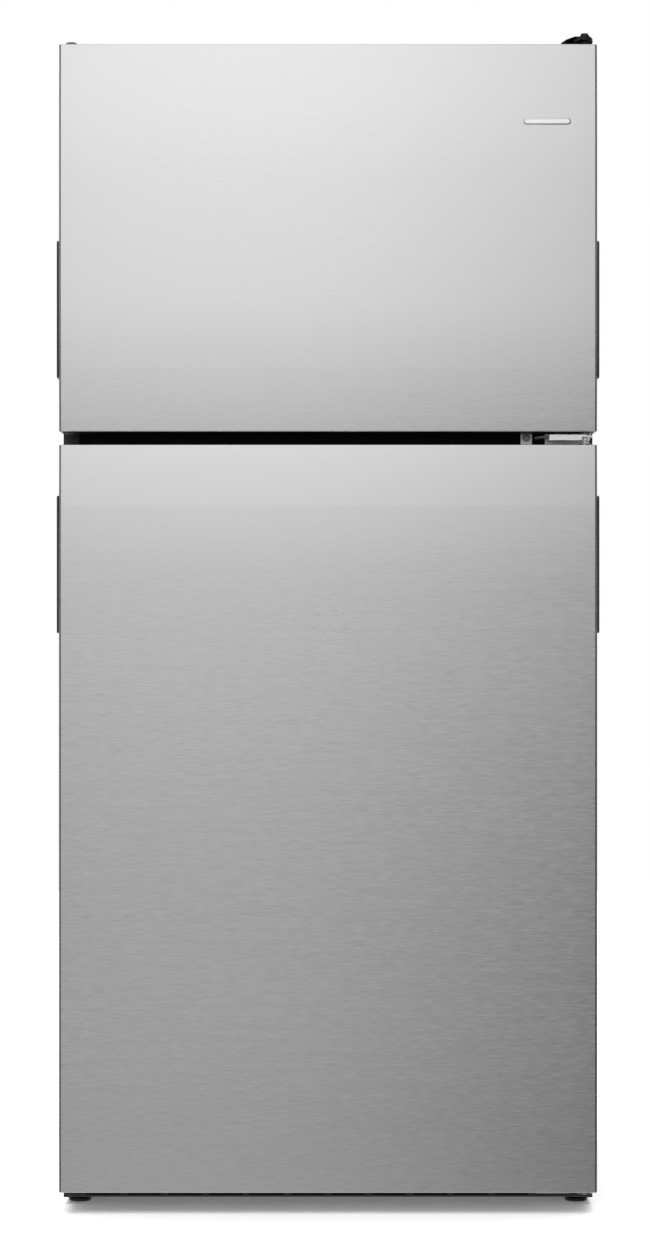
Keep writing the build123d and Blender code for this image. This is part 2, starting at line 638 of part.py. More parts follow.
def crowned(door, half_width, gap, back):
    """A door-high slab whose front is the crowned face moved back by a gap."""
    low, high = door.z[0], door.z[1]
    middle = (low + high) / 2
    edge = DOOR_FRONT + CROWN + gap
    face = ThreePointArc((edge, low), (edge - CROWN, middle), (edge, high))
    outline = face + Polyline((edge, high), (back, high), (back, low), (edge, low))
    return Plane.YZ * extrude(make_face(outline), half_width, both=True)


def door_skin(door):
    """Stainless sheet: crowned face, two sides and their rear returns, cut out for the grips."""
    outer = crowned(door, HX, 0, DOOR_BACK - PLASTIC)
    outer = fillet(outer.edges().filter_by(lambda e: abs(e.length - (door.z[1] - door.z[0])) < 1)
                   .group_by(Axis.Y)[0], 3.0)
    hollow = crowned(door, HX - SKIN, SKIN, DOOR_BACK - PLASTIC - SKIN)
    hollow = fillet(hollow.edges().filter_by(lambda e: abs(e.length - (door.z[1] - door.z[0])) < 1)
                    .group_by(Axis.Y)[0], 2.2)
    rear = block((-HX + RETURN, HX - RETURN), (DOOR_BACK - 5, DOOR_BACK), (door.z[0] - 1, door.z[1] + 1))
    skin = outer - hollow - rear
    half = POCKET_LEN / 2 + CUP_WALL + SLACK
    y = (POCKET_Y[0] - CUP_WALL - SLACK, POCKET_Y[1] + CUP_WALL + SLACK)
    cut = block((HX - 5, HX + 5), y, (door.grip_z - half, door.grip_z + half))
    return skin - cut - mirrored(cut)


def end_cap(door, top):
    """Moulded end of a door, with a solid hinge corner on each side."""
    y = (DOOR_FRONT + CROWN + SKIN + SLACK, DOOR_BACK - PLASTIC - SKIN - SLACK)
    x = HX - SKIN - SLACK
    edge = door.z[1] if top else door.z[0]
    inward = -1 if top else 1
    cap = block((-x, x), y, sorted((edge, edge + inward * CAP_T)))
    cap = fillet(cap.edges().filter_by(Axis.Z).group_by(Axis.Y)[0], 1.6)
    corner = rounded((CORNER_X, x - 1), y, sorted((edge + inward * 2, edge + inward * CORNER_H)), 1.5)
    cap += corner + mirrored(corner)
    for side in (-1, 1):
        start = (side * PIN_X, PIN_Y, edge - inward)
        cap -= rod(start, (side * PIN_X, PIN_Y, edge + inward * (PIN_REACH + 4)), PIN_R + PIN_FIT)
    return cap


def door_foam(door):
    """Foam core as plain slabs, so that the finger pockets and the bin space stay open."""
    y = (DOOR_FRONT + SKIN + SLACK, DOOR_BACK - PLASTIC - SKIN - SLACK)
    z = inset(door.z, CAP_T + SLACK)
    side = (CORNER_X - SLACK, HX - SKIN - SLACK)
    core = crowned(door, HX, SKIN + SLACK, y[1])
    slabs = [core & block((-side[0], side[0]), y, z)]
    half = POCKET_LEN / 2 + CUP_WALL + SLACK
    low, high = door.grip_z - half, door.grip_z + half
    fronts = [
        block(side, y, (door.z[0] + CORNER_H + SLACK, low)),
        block(side, y, (high, door.z[1] - CORNER_H - SLACK)),
        block(side, (y[0], POCKET_Y[0] - CUP_WALL - SLACK), (low, high)),
    ]
    for part in fronts:
        corner = part.edges().filter_by(Axis.Z).group_by(Axis.Y)[0].sort_by(Axis.X)[-1]
        slabs += both_sides(chamfer(corner, 4.4) & core)
    slabs += both_sides(block(side, (POCKET_Y[1] + CUP_WALL + SLACK, y[1]), (low, high)))
    core_x, core_z = inset(RIDGE_X, PLASTIC + SLACK), inset(door.ridge_z, PLASTIC + SLACK)
    core_y = (DOOR_BACK - PLASTIC, DOOR_BACK + RIDGE_DEEP - PLASTIC - SLACK)
    width = RIDGE_X[1] - RIDGE_X[0] - 2 * (PLASTIC + SLACK)
    post = block(core_x, core_y, core_z)
    slabs += both_sides(fillet(post.edges().filter_by(Axis.Y).group_by(Axis.X)[-1], 16.5))
    for z in ((core_z[0], core_z[0] + width), (core_z[1] - width, core_z[1])):
        slabs.append(block((-core_x[0], core_x[0]), core_y, z))
    return slabs


def door_liner(door):
    """Formed inner panel with its raised ridge, open behind the ridge for the foam."""
    panel = block((-HX + 3, HX - 3), (DOOR_BACK - PLASTIC, DOOR_BACK), inset(door.z, 3.0))
    width = RIDGE_X[1] - RIDGE_X[0]
    y = (DOOR_BACK - 1, DOOR_BACK + RIDGE_DEEP)
    outer = rounded((-RIDGE_X[1], RIDGE_X[1]), y, door.ridge_z, 18, "y")
    outer -= rounded((-RIDGE_X[0], RIDGE_X[0]), (y[0] - 1, y[1] + 1), inset(door.ridge_z, width), 8, "y")
    outer = fillet(outer.edges().group_by(Axis.Y)[-1], 1.8)
    core_y = (DOOR_BACK - PLASTIC - 1, DOOR_BACK + RIDGE_DEEP - PLASTIC)
    core = block((-RIDGE_X[1] + PLASTIC, RIDGE_X[1] - PLASTIC), core_y, inset(door.ridge_z, PLASTIC))
    core = fillet(core.edges().filter_by(Axis.Y), 1.9)
    core -= block((-RIDGE_X[0] - PLASTIC, RIDGE_X[0] + PLASTIC), (core_y[0] - 1, core_y[1] + 1),
                  inset(door.ridge_z, width - PLASTIC))
    keep = rounded((-RIDGE_X[1] + PLASTIC, RIDGE_X[1] - PLASTIC), core_y, inset(door.ridge_z, PLASTIC), 16, "y")
    liner = panel + outer - (core & keep)
    for z in door.hook_zs:
        hook = rounded((RIDGE_X[0] - 5, RIDGE_X[0] + 1), (DOOR_BACK + 12, DOOR_BACK + 30),
                       (z, z + 34), 2.0, "y")
        for side in both_sides(hook):
            liner += side
    return liner


SEAL_X = 361.0
SEAL_EDGE = 8.0
SEAL_W = 14.0


def gasket(door):
    """Magnetic door seal."""
    y = (DOOR_BACK + SLACK, DOOR_BACK + SEAL_T)
    z = inset(door.z, SEAL_EDGE)
    seal = rounded((-SEAL_X, SEAL_X), y, z, 6.0, "y")
    return seal - rounded((-SEAL_X + SEAL_W, SEAL_X - SEAL_W), (y[0] - 1, y[1] + 1), inset(z, SEAL_W), 2.0, "y")


def grip(door):
    """Right-hand finger cup with its proud rim."""
    z = (door.grip_z - GRIP_LEN / 2, door.grip_z + GRIP_LEN / 2)
    rim = rounded((HX + 0.02, HX + GRIP_PROUD), GRIP_Y, z, 5.0, "x")
    rim = fillet(rim.edges().group_by(Axis.X)[-1], 1.4)
    half = POCKET_LEN / 2
    pocket_z = (door.grip_z - half, door.grip_z + half)
    cup_y, cup_z = inset(POCKET_Y, -CUP_WALL), inset(pocket_z, -CUP_WALL)
    cup = block((POCKET_IN - CUP_WALL, HX + 1), cup_y, cup_z)
    hole = block((POCKET_IN, HX + 10), POCKET_Y, pocket_z)
    hole = fillet(hole.edges().filter_by(Axis.X), 5)
    return rim + cup - hole


BIN_X = 279.0
BIN_Y = (DOOR_BACK + 1.5, -220.0)


def door_bin(x, z, deep=BIN_Y):
    """Full-width bin: tray with a stepped front rim."""
    body = tub(x, deep, z, 2.6, 14, 5.0)
    rim = rounded(x, deep, (z[1] - 6, z[1]), 14)
    rim -= rounded(inset(x, 4), inset(deep, 4), (z[1] - 7, z[1] + 1), 10)
    return body + rim


FREEZER_BINS = ((1196.0, 1290.0), (1400.0, 1484.0))
FRIDGE_BINS = ((166.0, 292.0), (500.0, 600.0))
SMALL_BIN = (800.0, 884.0)
DAIRY_X = (-279.0, -12.0)
DAIRY_Z = (872.0, 952.0)
FREEZER.hook_zs = [z[0] + 12 for z in FREEZER_BINS]
FRIDGE.hook_zs = [z[0] + 12 for z in (*FRIDGE_BINS, SMALL_BIN)] + [DAIRY_Z[0] + 12]
LID_PIN_Y = DOOR_BACK + 10.0
LID_PIN_Z = DAIRY_Z[1] + 6.0


def dairy_bin():
    """Small tray with side cheeks that carry the lid's pins."""
    tray = tub(DAIRY_X, (DOOR_BACK + 1.5, -236.0), (DAIRY_Z[0], DAIRY_Z[0] + 46), 2.6, 10, 4.0)
    for x in ((DAIRY_X[0], DAIRY_X[0] + 2.6), (DAIRY_X[1] - 2.6, DAIRY_X[1])):
        tray += rounded(x, (DOOR_BACK + 1.5, DOOR_BACK + 26), (DAIRY_Z[0] + 20, DAIRY_Z[1] + 14), 6, "x")
        inward = 1 if x[0] < -100 else -1
        wall = x[1] if inward > 0 else x[0]
        tray += rod((wall - inward, LID_PIN_Y, LID_PIN_Z), (wall + inward * 5, LID_PIN_Y, LID_PIN_Z), 2.5)
    return tray


def dairy_lid():
    """Flip-up cover: a top and a front in one bent sheet, with two pin eyes."""
    x = inset(DAIRY_X, 3.4)
    top = (LID_PIN_Z + 3, LID_PIN_Z + 6)
    lid = block(x, (DOOR_BACK + 4, -228), top)
    lid += block(x, (-231, -228), (DAIRY_Z[0] + 34, top[1]))
    lid = fillet(lid.edges().filter_by(Axis.X).sort_by_distance((0, -228, top[1]))[0], 8)
    lid += rounded(inset(x, 90), (-230, -223), (DAIRY_Z[0] + 34, DAIRY_Z[0] + 39), 2.0, "x")
    for eye in ((x[0], x[0] + 4), (x[1] - 4, x[1])):
        lid += rod((eye[0], LID_PIN_Y, LID_PIN_Z), (eye[1], LID_PIN_Y, LID_PIN_Z), 5)
    return lid - rod((x[0] - 1, LID_PIN_Y, LID_PIN_Z), (x[1] + 1, LID_PIN_Y, LID_PIN_Z), 2.56)


BADGE = (307.0, 1551.5)


def badge():
    """Plain bright bar on the freezer door."""
    x, z = BADGE
    bar = rounded((x - 33, x + 33), (DOOR_FRONT - 1.6, DOOR_FRONT - 0.02), (z - 4.5, z + 4.5), 4.4, "y")
    return fillet(bar.edges().group_by(Axis.Y)[0], 0.8)


# ---------------------------------------------------------------- hinges
PLATE = 3.0
ARM_Z = (1110.4, 1113.4)


def top_hinge():
    """Plate on the cabinet top, arm and pin of the freezer door."""
    z = (CAB_TOP, CAB_TOP + PLATE)
    plate = rounded((341, 370), (-308, -232), z, 6)
    plate += block((348, 370), (-352, -300), z)
    plate += rod((PIN_X, PIN_Y, z[0]), (PIN_X, PIN_Y, z[1]), 11)
    plate += rod((PIN_X, PIN_Y, z[1] - 1), (PIN_X, PIN_Y, CAB_TOP + 7), 7)
    plate += Pos(PIN_X, PIN_Y, CAB_TOP + 6) * extrude(RegularPolygon(5.5, 6), 4)
    plate += rod((PIN_X, PIN_Y, FREEZER_DOOR_Z[1] - PIN_REACH), (PIN_X, PIN_Y, z[0] + 1), PIN_R)
    for x, y in TOP_SCREWS:
        plate -= rod((x, y, z[0] - 1), (x, y, z[1] + 1), 2.6)
    return plate


TOP_SCREWS = ((350.0, -294.0), (350.0, -246.0), (362.0, -246.0))
CENTRE_SCREWS = ((282.5, 1112.4, 4.2), (318.0, 1119.0, 3.2), (346.0, 1119.0, 3.2))
BOTTOM_SCREWS = ((296.0, 37.0, 3.2), (318.0, 37.0, 3.2), (338.0, 37.0, 3.2))
BOTTOM_PLATE_Z = (44.0, 47.0)
BASE_FRONT = -300.0


def centre_hinge():
    """Flange on the mullion, lipped arm between the doors, and the pin for both."""
    flange_z = (1099.5, 1124.5)
    hinge = rounded((274.5, 290), (CAB_FRONT - PLATE, CAB_FRONT), flange_z, 2.0, "y")
    hinge += rounded((288, 372), (CAB_FRONT - PLATE, CAB_FRONT), (ARM_Z[1] - 12, 1124.5), 2.0, "y")
    hinge -= block((290.5, 309), (CAB_FRONT - 5, CAB_FRONT + 1), (ARM_Z[1] - 13, 1118.5))
    outline = Polyline((294, CAB_FRONT - 1), (311, -373), (PIN_X, -373), (373, -356), (373, CAB_FRONT - 1),
                       close=True)
    arm = make_face(outline)
    hinge += Pos(0, 0, ARM_Z[0]) * extrude(arm, PLATE)
    hinge += block((311, 357), (-373, -371), (ARM_Z[1] - 7.8, ARM_Z[1]))
    hinge += rod((PIN_X, PIN_Y, ARM_Z[0] - 5), (PIN_X, PIN_Y, ARM_Z[1]), 7)
    low, high = FRIDGE_DOOR_Z[1] - PIN_REACH, FREEZER_DOOR_Z[0] + PIN_REACH
    hinge += rod((PIN_X, PIN_Y, low), (PIN_X, PIN_Y, high), PIN_R)
    for x, z, _ in CENTRE_SCREWS:
        hinge -= rod((x, CAB_FRONT - 5, z), (x, CAB_FRONT + 1, z), 2.6)
    return hinge


def bottom_hinge():
    """Bracket on the front of the base with the lower pin of the fridge door."""
    hinge = block((286, 350), (BASE_FRONT - PLATE, BASE_FRONT), (30, BOTTOM_PLATE_Z[1]))
    hinge += block((300, 354), (-350, BASE_FRONT - 1), BOTTOM_PLATE_Z)
    hinge += block((340, 371), (-350, -316), BOTTOM_PLATE_Z)
    hinge += rod((PIN_X, PIN_Y, BOTTOM_PLATE_Z[0]), (PIN_X, PIN_Y, BOTTOM_PLATE_Z[1]), 11)
    hinge += rod((PIN_X, PIN_Y, BOTTOM_PLATE_Z[0]), (PIN_X, PIN_Y, FRIDGE_DOOR_Z[0] + PIN_REACH), PIN_R)
    for x, z, _ in BOTTOM_SCREWS:
        hinge -= rod((x, BASE_FRONT - 5, z), (x, BASE_FRONT + 1, z), 2.6)
    return hinge


def hinge_cover():
    """Moulded cap over the top hinge, open in front and sloped on its inner side."""
    foot, crown = CAB_TOP + 0.1, CAB_TOP + 9.5
    outline = [(330, foot), (337, CAB_TOP + 5), (349.5, crown), (371, crown), (374.5, crown - 3), (375, foot)]
    hollow = [(334.5, foot - 1), (339, CAB_TOP + 4.2), (350, crown - 1.8), (370, crown - 1.8),
              (372.8, crown - 3.6), (373, foot - 1)]
    cover = Pos(0, -282, 0) * (Plane.XZ * extrude(make_face(Polyline(*outline, close=True)), 60, both=True))
    room = Plane.XZ * extrude(make_face(Polyline(*hollow, close=True)), 60, both=True)
    return cover - Pos(0, -284, 0) * room


def hinge_fasteners():
    """Hinge screws, and the washers that the doors ride on."""
    pieces = []
    for x, y in TOP_SCREWS:
        top = CAB_TOP + PLATE
        head = Pos(x, y, top) * extrude(RegularPolygon(4.6, 6), 2.5)
        pieces.append(head + rod((x, y, CAB_TOP - 0.9), (x, y, top + 1), 2.5))
    for x, z, head_r in CENTRE_SCREWS:
        pieces.append(screw_y(x, CAB_FRONT - PLATE, z, head_r))
    for x, z, head_r in BOTTOM_SCREWS:
        pieces.append(screw_y(x, BASE_FRONT - PLATE, z, head_r))
    gaps = (
        (FREEZER_DOOR_Z[1], FREEZER_DOOR_Z[1] + 3),
        (ARM_Z[1], FREEZER_DOOR_Z[0]),
        (FRIDGE_DOOR_Z[1], FRIDGE_DOOR_Z[1] + 3),
        (BOTTOM_PLATE_Z[1], FRIDGE_DOOR_Z[0]),
    )
    for gap in gaps:
        low, high = inset(gap, SLACK)
        pieces.append(ring((PIN_X, PIN_Y, low), (PIN_X, PIN_Y, high), 9, PIN_R + 0.1))
    return pieces


def screw_y(x, y, z, head_r):
    """Washer-head screw driven along +Y, with a hexagon recess."""
    head = rod((x, y - 3, z), (x, y, z), head_r)
    head = fillet(head.edges().group_by(Axis.Y)[0], 1.0)
    head += ring((x, y - 0.9, z), (x, y, z), head_r + 1.8, head_r - 1)
    recess = Plane.XZ * extrude(RegularPolygon(2.2, 6), 1.5, both=True)
    head -= Pos(x, y - 3, z) * recess
    return head + rod((x, y - 0.5, z), (x, y + 2.8, z), 2.4)


def hole_plugs():
    """Button plugs in the unused left-hand hinge holes of the doors and the mullion."""
    pieces = {"freezer": [], "fridge": [], "cabinet": []}
    spare_holes = (("freezer", FREEZER_DOOR_Z[1], 7.6, 5.0), ("freezer", FREEZER_DOOR_Z[0], -2.6, 2.2),
                   ("fridge", FRIDGE_DOOR_Z[1], 2.6, 2.2))
    for name, edge, rise, bend in spare_holes:
        x, y = -PIN_X, PIN_Y
        out = 1 if rise > 0 else -1
        dome = rod((x, y, edge + out * 0.05), (x, y, edge + rise), 9.5)
        dome = fillet(dome.edges().group_by(Axis.Z)[-1 if out > 0 else 0], bend)
        pieces[name].append(dome + rod((x, y, edge + out), (x, y, edge - out * 12), PIN_R - 0.1))
    for x in (-282.5, -318.0, -346.0):
        y = CAB_FRONT
        dome = rod((x, y - 2.4, 1112.4), (x, y - 0.05, 1112.4), 6)
        pieces["cabinet"].append(fillet(dome.edges().group_by(Axis.Y)[0], 2.0))
    return pieces


# ---------------------------------------------------------------- write every piece
os.makedirs("parts", exist_ok=True)

write("cabinet_shell", cabinet_shell())
write("cabinet_back", cabinet_back())
write("insulation", *insulation())
write("freezer_liner", freezer_liner())
write("refrigerator_liner", refrigerator_liner())
write("mullion_rail", mullion_rail())
write("light_switch_plunger", switch_plunger())
write("base_frame", *base_frame())
write("base_grille", base_grille())
write("levelling_leg_right", levelling_leg())
write("levelling_leg_left", mirrored(levelling_leg()))
write("rear_wheel_right", rear_wheel())
write("rear_wheel_left", mirrored(rear_wheel()))

write("compressor", compressor())
write("condenser_coil", condenser_coil())
write("condenser_fan_mount", condenser_fan_mount())
write("condenser_fan", propeller((FAN_X + 2, FAN_Y, FAN_Z), "x", 17, 70, 5, 14, 2.5))
write("drain_pan", drain_pan())
write("rear_cover", rear_cover())

write("evaporator", evaporator())
write("evaporator_cover", evaporator_cover())
write("evaporator_fan_motor", evaporator_fan_motor())
write("evaporator_fan", propeller((EVAP_FAN[0], EVAP_FAN[1] - 8, EVAP_FAN[2]), "y", 12, 50, 4, 10, 2))
write("freezer_shelf", freezer_shelf())

write("shelf_frames", shelf_frame(SHELF_ZS[0]), middle_shelf_frame(), crisper_cover())
write("shelf_glass", *[shelf_glass(z) for z in SHELF_ZS])
write("crisper_right", crisper())
write("crisper_left", mirrored(crisper()))
write("humidity_slider_right", humidity_slider())
write("humidity_slider_left", mirrored(humidity_slider()))
write("meat_pan", meat_pan())
write("control_housing", control_housing())
write("freezer_control_knob", control_knob())
write("fridge_control_knob", mirrored(control_knob()))
write("light_bulb", light_bulb())
write("air_tower", air_tower())

plugs = hole_plugs()
for name, door in (("freezer", FREEZER), ("fridge", FRIDGE)):
    write(f"{name}_door_skin", door_skin(door))
    write(f"{name}_door_end_caps", end_cap(door, True), end_cap(door, False))
    write(f"{name}_door_foam", *door_foam(door))
    write(f"{name}_door_liner", door_liner(door))
    write(f"{name}_door_gasket", gasket(door))
    write(f"{name}_door_grips", *both_sides(grip(door)))
    write(f"{name}_door_plugs", *plugs[name])
write("mullion_plugs", *plugs["cabinet"])
write("freezer_door_bins", *[door_bin((-BIN_X, BIN_X), z, (BIN_Y[0], -236.0)) for z in FREEZER_BINS])
fridge_bins = [door_bin((-BIN_X, BIN_X), z) for z in FRIDGE_BINS]
write("fridge_door_bins", *fridge_bins, door_bin((0.0, BIN_X), SMALL_BIN), dairy_bin())
write("dairy_lid", dairy_lid())
write("badge", badge())

write("top_hinge", top_hinge())
write("centre_hinge", centre_hinge())
write("bottom_hinge", bottom_hinge())
write("top_hinge_cover", hinge_cover())
write("hinge_fasteners", *hinge_fasteners())
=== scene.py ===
import bmesh
import bpy
import math
from mathutils import Matrix, Vector


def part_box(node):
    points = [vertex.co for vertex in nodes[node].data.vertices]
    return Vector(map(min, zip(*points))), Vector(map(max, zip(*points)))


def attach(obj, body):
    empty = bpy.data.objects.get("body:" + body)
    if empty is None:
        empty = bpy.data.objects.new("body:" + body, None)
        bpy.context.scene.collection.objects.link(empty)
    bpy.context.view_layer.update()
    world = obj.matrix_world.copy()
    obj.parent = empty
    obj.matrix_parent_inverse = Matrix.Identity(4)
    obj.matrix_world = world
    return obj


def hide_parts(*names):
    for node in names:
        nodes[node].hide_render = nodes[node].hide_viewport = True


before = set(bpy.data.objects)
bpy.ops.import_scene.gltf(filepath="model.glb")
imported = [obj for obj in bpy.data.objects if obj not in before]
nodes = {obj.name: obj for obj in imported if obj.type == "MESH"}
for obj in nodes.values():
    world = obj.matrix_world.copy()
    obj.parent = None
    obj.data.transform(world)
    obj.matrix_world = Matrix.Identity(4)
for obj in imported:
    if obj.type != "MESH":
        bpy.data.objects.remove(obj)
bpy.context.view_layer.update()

MM = 0.001


# ---------------------------------------------------------------- cabinet wrapper
# One steel sheet bent over both sides and the top, coated in black paint with a fine pebbled
# texture. The rear sheet is bare galvanised steel, hemmed in and screwed round its edge.
class Value:
    """A socket of a material or of the world. Sums and products of values add Math nodes."""

    def __init__(self, tree, socket):
        self.tree = tree
        self.socket = socket

    def node(self, kind, settings, inputs, output=0):
        """Any other node: its settings first, then the values or links of its sockets."""
        made = self.tree.nodes.new(kind)
        for name, value in settings.items():
            setattr(made, name, value)
        for key, value in inputs.items():
            if isinstance(value, Value):
                self.tree.links.new(value.socket, made.inputs[key])
            else:
                made.inputs[key].default_value = value
        return Value(self.tree, made.outputs[output])

    def maths(self, operation, *values):
        return self.node("ShaderNodeMath", {"operation": operation}, dict(enumerate(values)))

    def __add__(self, other):
        return self.maths("ADD", self, other)

    def __rsub__(self, other):
        return self.maths("SUBTRACT", other, self)

    def __mul__(self, other):
        return self.maths("MULTIPLY", self, other)

    __radd__ = __add__
    __rmul__ = __mul__

    def over(self, low, high, soft="LINEAR"):
        """0 where the value is at low, 1 where it is at high."""
        return self.node("ShaderNodeMapRange", {"clamp": True, "interpolation_type": soft},
                         {0: self, 1: low, 2: high})

    def noise(self, scale, detail=2.0, stretch=(1, 1, 1)):
        moved = self.node("ShaderNodeMapping", {}, {"Vector": self, "Scale": stretch})
        sockets = {"Vector": moved, "Scale": scale, "Detail": detail}
        return self.node("ShaderNodeTexNoise", {}, sockets)

    def cells(self, scale, output="Distance"):
        return self.node("ShaderNodeTexVoronoi", {}, {"Vector": self, "Scale": scale}, output)

    def tint(self, dark, light):
        """A colour between two, by a value from 0 to 1. The Mix node's colour sockets are 6 and 7."""
        return self.node("ShaderNodeMix", {"data_type": "RGBA"},
                         {0: self, 6: (*dark, 1), 7: (*light, 1)}, 2)


def finish(name, metallic=0.0, coat=0.0, ior=1.5, specular=0.5):
    """A new material with its surface coordinates."""
    material = bpy.data.materials.new(name)
    material.use_nodes = True
    shader = material.node_tree.nodes["Principled BSDF"]
    shader.inputs["Metallic"].default_value = metallic
    shader.inputs["Coat Weight"].default_value = coat
    shader.inputs["IOR"].default_value = ior
    shader.inputs["Specular IOR Level"].default_value = specular
    coordinates = material.node_tree.nodes.new("ShaderNodeTexCoord")
    return material, Value(material.node_tree, coordinates.outputs["Object"])


def surface(material, colour, rough, height=None, depth=0.0001):
    """Feeds a material's colour, roughness and relief."""
    tree = material.node_tree
    shader = tree.nodes["Principled BSDF"]
    tree.links.new(colour.socket, shader.inputs["Base Color"])
    tree.links.new(rough.socket, shader.inputs["Roughness"])
    if height is not None:
        relief = {"Strength": 1.0, "Distance": depth, "Height": height}
        bump = height.node("ShaderNodeBump", {}, relief)
        tree.links.new(bump.socket, shader.inputs["Normal"])
    return material


def dress(material, *names):
    """Gives CAD nodes their material."""
    for name in names:
        mesh = nodes[name].data
        mesh.materials.clear()
        mesh.materials.append(material)


def pebbled_paint(name, dark, light):
    material, place = finish(name)
    stipple = place.cells(900)
    cloud = place.noise(3, 3)
    colour = cloud.tint(dark, light)
    return surface(material, colour, cloud * 0.1 + 0.4 + stipple * 0.08, stipple, 0.00012)


def galvanised(name):
    material, place = finish(name, metallic=1.0)
    spangle = place.cells(120, "Color")
    flake = spangle.node("ShaderNodeSeparateColor", {}, {0: spangle})
    stain = place.noise(2.5, 4)
    tone = flake * 0.3 + stain * 0.7
    return surface(material, tone.tint((0.42, 0.43, 0.44), (0.62, 0.63, 0.64)), flake * 0.12 + 0.36)


black_paint = pebbled_paint("black_pebbled_paint", (0.012, 0.012, 0.013), (0.02, 0.02, 0.021))
zinc_sheet = galvanised("galvanised_sheet")
dress(black_paint, "cabinet_shell")
dress(zinc_sheet, "cabinet_back")


def placed(mesh, name, material, body, smooth=35):
    """A bmesh as a piece that rides on a body. Edges sharper than smooth degrees stay crisp."""
    for face in mesh.faces:
        face.smooth = True
    for edge in mesh.edges:
        edge.smooth = edge.calc_face_angle(0) < math.radians(smooth)
    data = bpy.data.meshes.new(name)
    mesh.to_mesh(data)
    mesh.free()
    piece = bpy.data.objects.new(name, data)
    bpy.context.scene.collection.objects.link(piece)
    data.materials.append(material)
    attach(piece, body)
    return piece


def even_normals(piece):
    weights = piece.modifiers.new("normals", "WEIGHTED_NORMAL")
    weights.keep_sharp = True


def screw_head(mesh, centre, radius, facing):
    """Adds a washer-head screw with a round recess. Its head looks along facing."""
    turn = Vector((0, 0, 1)).rotation_difference(facing).to_matrix().to_4x4()
    at = Matrix.Translation(centre) @ turn
    raised = at @ Matrix.Translation((0, 0, radius * 0.45))
    bmesh.ops.create_cone(mesh, cap_ends=True, segments=20, radius1=radius * 1.4,
                          radius2=radius * 1.35, depth=radius * 0.3, matrix=at)
    head = bmesh.ops.create_cone(mesh, cap_ends=True, segments=20, radius1=radius,
                                 radius2=radius * 0.86, depth=radius * 0.8, matrix=raised)
    caps = [f for v in head["verts"] for f in v.link_faces if len(f.verts) > 4]
    top = max(set(caps), key=lambda f: f.calc_center_median().dot(facing))
    bmesh.ops.inset_region(mesh, faces=[top], thickness=radius * 0.45)
    bmesh.ops.translate(mesh, verts=top.verts, vec=-facing * radius * 0.4)


def screws_at(name, spots, radius, facing, material):
    """Like screws in the cabinet, as one piece."""
    mesh = bmesh.new()
    for spot in spots:
        screw_head(mesh, Vector(spot), radius, Vector(facing))
    placed(mesh, name, material, "cabinet")


lo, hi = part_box("cabinet_back")
HEM_LINE = 9 * MM
FIRST_SCREW = 40 * MM
SIDE_SCREWS = 8
TOP_SCREWS = 4
side_pitch = (hi.z - lo.z - 2 * FIRST_SCREW) / (SIDE_SCREWS - 1)
top_pitch = (hi.x - lo.x) / (TOP_SCREWS + 1)
down_sides = [(side, hi.y, lo.z + FIRST_SCREW + step * side_pitch)
              for side in (lo.x + HEM_LINE, hi.x - HEM_LINE) for step in range(SIDE_SCREWS)]
along_top = [(lo.x + step * top_pitch, hi.y, hi.z - HEM_LINE) for step in range(1, TOP_SCREWS + 1)]
screws_at("back_sheet_screws", down_sides + along_top, 3.2 * MM, (0, 1, 0),
          zinc_sheet)


# ---------------------------------------------------------------- foam
# Polyurethane foam is poured between the wrapper and the liners and into both doors, where it
# sets and bonds the sheets together. Little of it shows once the liners are in.
foam, place = finish("poured_foam")
pores = place.cells(260)
skinned = place.noise(9, 3).tint((0.50, 0.45, 0.34), (0.62, 0.57, 0.45))
surface(foam, skinned, pores * 0.2 + 0.7, pores, 0.0006)
dress(foam, "insulation", "freezer_door_foam", "fridge_door_foam")


# ---------------------------------------------------------------- liners
# Each liner is one sheet of white plastic drawn into a mould, so it is glossy, with a slight
# ripple and fine grain and a slow change of tone.
def moulded(name, dark, light, rough, ripple=0.00005, coat=0.0, specular=0.5):
    material, place = finish(name, coat=coat, specular=specular)
    wave = place.noise(38, 2)
    grain = place.noise(1400, 1)
    shade = place.noise(2.2, 2)
    return surface(material, shade.tint(dark, light), wave * 0.08 + rough + grain * 0.05,
                   wave + grain * 0.12, ripple)


liner_white = moulded("drawn_white_liner", (0.70, 0.71, 0.70), (0.80, 0.80, 0.785), 0.22, 0.00004)
dress(liner_white, "freezer_liner", "refrigerator_liner", "freezer_door_liner", "fridge_door_liner")


# ---------------------------------------------------------------- mullion and light switch
# A painted steel rail closes the cabinet front between the doors. Its spare hinge holes on the
# left have button plugs, and the switch plunger stands out of a collar on the same side.
# The rail's black is partly real paint and partly painted shade. It is darker and duller than the
# wrapper's, so the gap between the doors and the base frame under the cabinet read as deep shadow.
rail_paint_with_painted_shade = moulded("black_paint_with_painted_shade", (0.003, 0.003, 0.003), (0.005, 0.005, 0.005),
                     0.45, 0.0001, specular=0.1)
dress(rail_paint_with_painted_shade, "mullion_rail", "mullion_plugs")
white_plastic = moulded("moulded_white_plastic", (0.72, 0.73, 0.72), (0.80, 0.81, 0.80),
                        0.3, 0.0001)
dress(white_plastic, "light_switch_plunger")


# ---------------------------------------------------------------- base
# The base is pressed steel in black paint. Two phosphated screw feet carry the front, two wheels
# on riveted axles carry the rear, and a black kick strip clips on in front.
def plated(name, dark, light, rough, metallic=1.0):
    material, place = finish(name, metallic=metallic)
    cloud = place.noise(26, 4)
    scratch = place.noise(160, 2, (1, 8, 1))
    worn = cloud * 0.16 + rough + scratch * 0.06
    return surface(material, cloud.tint(dark, light), worn, scratch, 0.00003)


